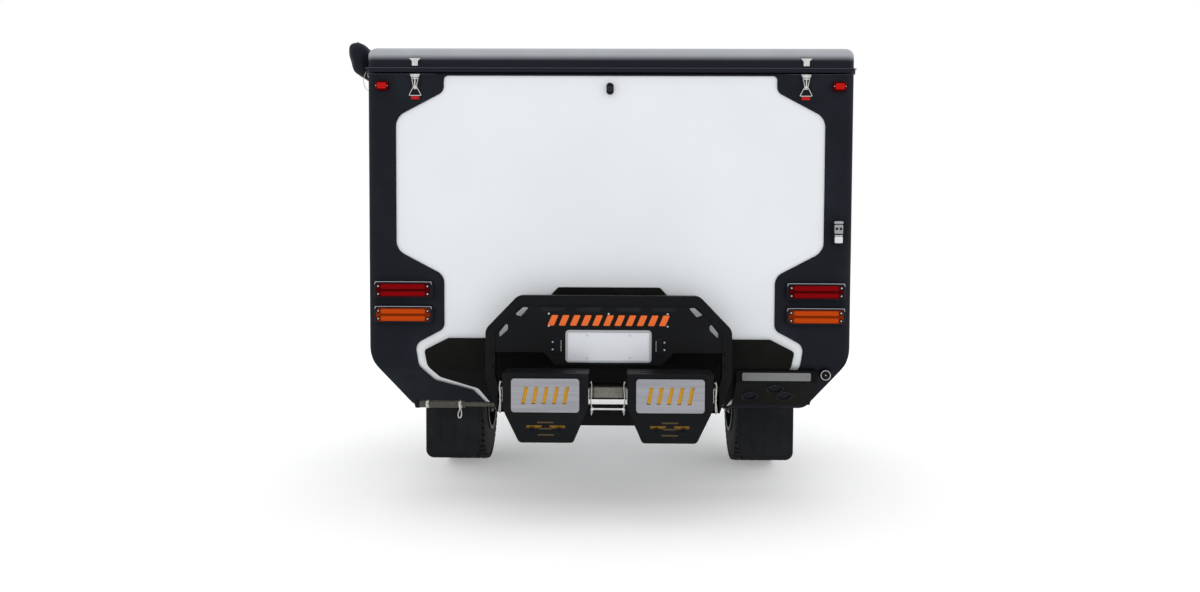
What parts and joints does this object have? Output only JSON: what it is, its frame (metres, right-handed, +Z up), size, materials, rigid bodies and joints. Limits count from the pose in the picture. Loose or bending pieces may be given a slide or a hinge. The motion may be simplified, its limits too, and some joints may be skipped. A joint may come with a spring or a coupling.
{
  "type": "teardrop camping trailer",
  "caption": "Hard-shell teardrop camping trailer with a squared rear, hinged roof lid, side doors, rear hoop with two can holders, and a drawbar on a jockey wheel",
  "frame": {"origin": "on the ground, midway between the wheels, straight under their axle line", "axes": "+Y is the towing direction and the longest extent, +X the trailer's right side, +Z up and the shortest extent"},
  "size_m": [2.3232, 4.72, 2.122],
  "materials": {
    "white_shell": "white gel coat",
    "black_cover": "dark moulded plastic",
    "black_panel": "black textured panel",
    "lid_black": "dark lid",
    "black_steel": "black powder coat",
    "bright_steel": "stainless",
    "galvanised": "galvanised",
    "red_lens": "red lens",
    "amber_lens": "amber lens",
    "black_rubber": "flap rubber",
    "tyre": "tyre rubber",
    "wheel_metal": "dark painted wheel",
    "glass": "tinted window",
    "can_yellow": "yellow can",
    "awning_cloth": "awning bag cloth",
    "ply": "plywood",
    "bedding": "mattress cover",
    "silver_plate": "bright face plate"
  },
  "bodies": {
    "root": {"body_shell": "white_shell", "rear_panel": "white_shell", "lower_panel": "black_panel", "corner_covers": "black_cover", "fixed_fittings": "bright_steel", "lamp_bezels": "black_cover", "lenses_red": "red_lens", "lenses_amber": "amber_lens", "rear_camera": "black_cover", "service_socket": "black_cover", "service_box": "black_panel", "arch_guards": "black_cover", "mud_flaps": "black_rubber", "chassis_frame": "black_steel", "drawbar": "black_steel", "coupling": "black_steel", "trailing_arms": "black_steel", "air_springs": "black_rubber", "dampers": "black_steel", "rear_hoop": "black_steel", "sign_panel": "black_steel", "carrier_tube": "galvanised", "can_holders": "black_steel", "cans": "can_yellow", "face_plates": "silver_plate", "corner_tube": "galvanised", "tank_guard": "black_steel", "front_box": "black_steel", "bed_base": "ply", "mattress": "bedding"},
    "lid": {"roof_lid": "lid_black", "lid_fittings": "bright_steel", "awning_bag": "awning_cloth"},
    "door_r": {"door_right": "white_shell", "window_right": "glass", "door_fittings_right": "bright_steel"},
    "door_l": {"door_left": "white_shell", "window_left": "glass", "door_fittings_left": "bright_steel"},
    "wheel_r": {"tyre_right": "tyre", "rim_right": "wheel_metal"},
    "wheel_l": {"tyre_left": "tyre", "rim_left": "wheel_metal"},
    "box_lid": {"front_box_lid": "black_steel"},
    "jockey_clamp": {"jockey_tube": "galvanised"},
    "jockey_slide": {"jockey_leg": "galvanised"},
    "jockey_swivel": {"jockey_fork": "galvanised"},
    "jockey_roller": {"jockey_wheel": "black_rubber"}
  },
  "joints": [
    {"name": "wheel_right_spin", "type": "hinge", "parent": "root", "child": "wheel_r", "pos_m": [0.78, 0, 0.385], "axis": [1, 0, 0], "continuous": true},
    {"name": "wheel_left_spin", "type": "hinge", "parent": "root", "child": "wheel_l", "pos_m": [-0.78, 0, 0.385], "axis": [1, 0, 0], "continuous": true},
    {"name": "lid_hinge", "type": "hinge", "parent": "root", "child": "lid", "pos_m": [0, 0.644, 2.088], "axis": [-1, 0, 0], "range_deg": [0, 28]},
    {"name": "door_right_hinge", "type": "hinge", "parent": "root", "child": "door_r", "pos_m": [1.098, 1.24, 1.275], "axis": [0, 0, 1], "range_deg": [0, 100]},
    {"name": "door_left_hinge", "type": "hinge", "parent": "root", "child": "door_l", "pos_m": [-1.098, 1.24, 1.275], "axis": [0, 0, -1], "range_deg": [0, 100]},
    {"name": "box_lid_hinge", "type": "hinge", "parent": "root", "child": "box_lid", "pos_m": [0, 2.006, 0.8953], "axis": [1, 0, 0], "range_deg": [0, 75]},
    {"name": "jockey_swing", "type": "hinge", "parent": "root", "child": "jockey_clamp", "pos_m": [-0.25606, 2.84827, 0.49], "axis": [-0.9608, 0.2774, 0], "range_deg": [0, 90]},
    {"name": "jockey_wind", "type": "slide", "parent": "jockey_clamp", "child": "jockey_slide", "axis": [0, 0, 1], "range_m": [0, 0.14]},
    {"name": "jockey_caster", "type": "hinge", "parent": "jockey_slide", "child": "jockey_swivel", "pos_m": [-0.25606, 2.84827, 0.2], "axis": [0, 0, 1], "continuous": true},
    {"name": "jockey_roll", "type": "hinge", "parent": "jockey_swivel", "child": "jockey_roller", "pos_m": [-0.26577, 2.81465, 0.1], "axis": [-0.9608, 0.2774, 0], "continuous": true}
  ]
}
